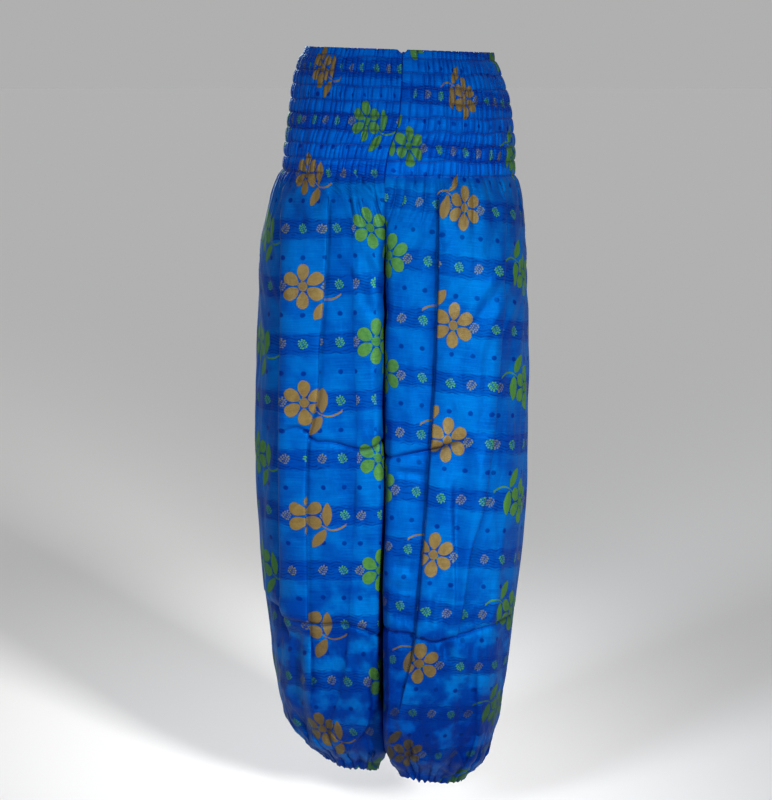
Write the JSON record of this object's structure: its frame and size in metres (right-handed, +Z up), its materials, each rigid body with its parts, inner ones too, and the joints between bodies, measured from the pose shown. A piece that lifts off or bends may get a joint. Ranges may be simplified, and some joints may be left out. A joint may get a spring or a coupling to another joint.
{
  "type": "harem pants",
  "caption": "Loose harem pants in printed cloth, with a shirred elastic waist and gathered elastic ankles, in the hollow form they take when worn.",
  "frame": {"origin": "centre of the waist opening at the garment's top edge, where the wearer's waist holds it up", "axes": "+Z up, out of the waist opening; -Y is the front; +X is the wearer's left; the legs hang down along -Z"},
  "size_m": [0.3707, 0.2699, 1.003],
  "materials": {
    "printed_cloth": "thin, softly lustrous satin weave, printed with flowers, sprigs, dots and wavy bands"
  },
  "bodies": {
    "root": {"left_front_top": "printed_cloth", "left_front_leg": "printed_cloth", "left_back_top": "printed_cloth", "left_back_leg": "printed_cloth", "right_front_top": "printed_cloth", "right_front_leg": "printed_cloth", "right_back_top": "printed_cloth", "right_back_leg": "printed_cloth"}
  },
  "joints": []
}
